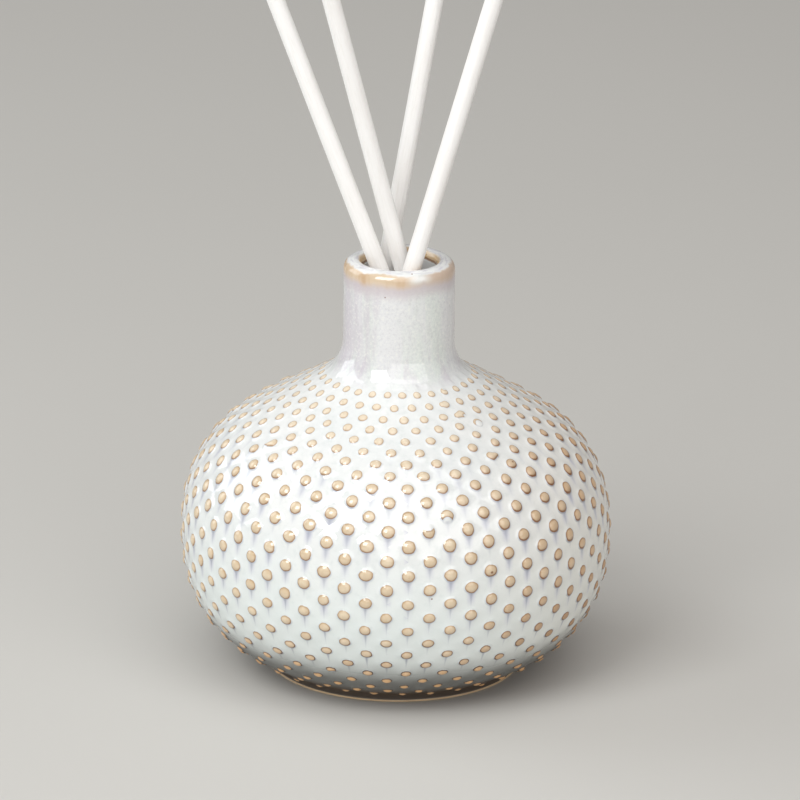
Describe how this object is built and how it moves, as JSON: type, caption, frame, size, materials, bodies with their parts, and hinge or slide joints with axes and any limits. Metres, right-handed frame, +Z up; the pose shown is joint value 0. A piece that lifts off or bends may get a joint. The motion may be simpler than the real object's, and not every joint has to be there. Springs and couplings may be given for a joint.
{
  "type": "reed diffuser",
  "caption": "Round-bellied ceramic reed diffuser with a narrow neck, raised-dot glazed relief, fragrance oil and slender white fibre reeds.",
  "frame": {"origin": "on the table, under the middle of the pot's foot ring", "axes": "+Z up along the pot's axis; -Y is the front, where the pictured side faces; +X to the right seen from the front"},
  "size_m": [0.1, 0.1, 0.2032],
  "materials": {
    "glazed_stoneware": "gloss",
    "reed_fibre": "matte",
    "oil": "gloss"
  },
  "bodies": {
    "pot": {"pot": "glazed_stoneware", "fragrance_oil": "oil"},
    "reed_left": {"reed_left": "reed_fibre"},
    "reed_centre": {"reed_centre": "reed_fibre"},
    "reed_back": {"reed_back": "reed_fibre"},
    "reed_right": {"reed_right": "reed_fibre"}
  },
  "joints": [
    {"name": "reed_left_lift", "type": "slide", "parent": "pot", "child": "reed_left", "axis": [-0.3597, 0.0189, 0.9329], "range_m": [0, 0.1]},
    {"name": "reed_centre_lift", "type": "slide", "parent": "pot", "child": "reed_centre", "axis": [-0.25, -0.1098, 0.962], "range_m": [0, 0.1]},
    {"name": "reed_back_lift", "type": "slide", "parent": "pot", "child": "reed_back", "axis": [0.1636, 0.1086, 0.9805], "range_m": [0, 0.1]},
    {"name": "reed_right_lift", "type": "slide", "parent": "pot", "child": "reed_right", "axis": [0.2696, 0.0389, 0.9622], "range_m": [0, 0.1]}
  ]
}
